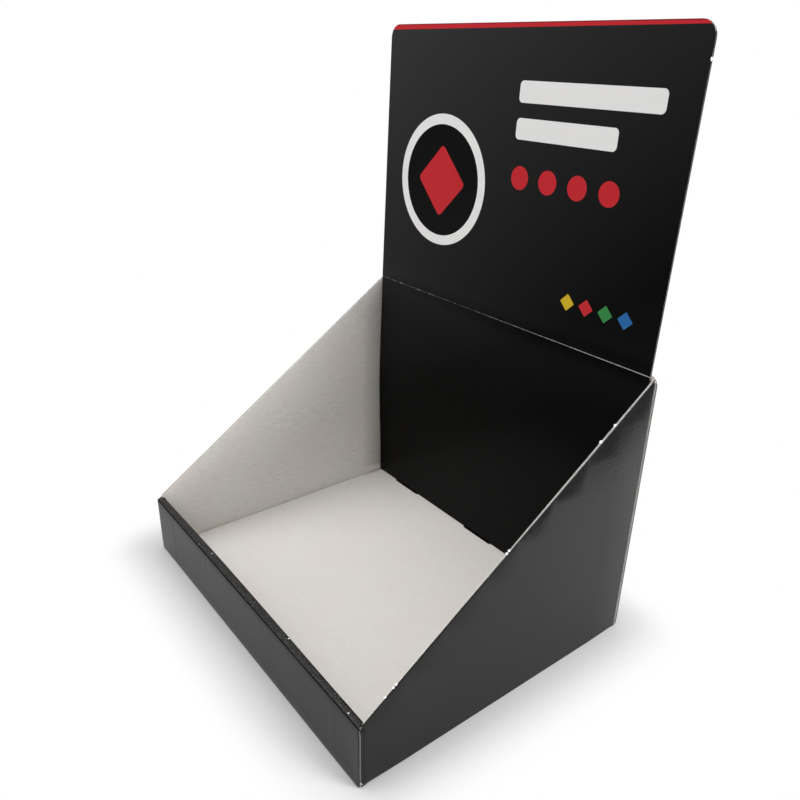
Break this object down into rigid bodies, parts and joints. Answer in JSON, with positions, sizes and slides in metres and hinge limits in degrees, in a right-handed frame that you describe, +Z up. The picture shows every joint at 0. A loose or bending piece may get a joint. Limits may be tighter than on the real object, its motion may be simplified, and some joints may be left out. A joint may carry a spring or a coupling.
{
  "type": "counter display",
  "caption": "Folded corrugated counter display: an open tray with a low double front, sloping sides and a tabbed header card that lines the back and rises above it.",
  "frame": {"origin": "middle of the tray's underside, on the surface it stands on", "axes": "+X to the display's right as a shopper faces it, +Y from the low front to the header at the back, +Z up"},
  "size_m": [0.27, 0.2184, 0.3763],
  "materials": {
    "tray_board": "satin",
    "header_board": "gloss"
  },
  "bodies": {
    "root": {"tray": "tray_board", "header_card": "header_board"}
  },
  "joints": []
}
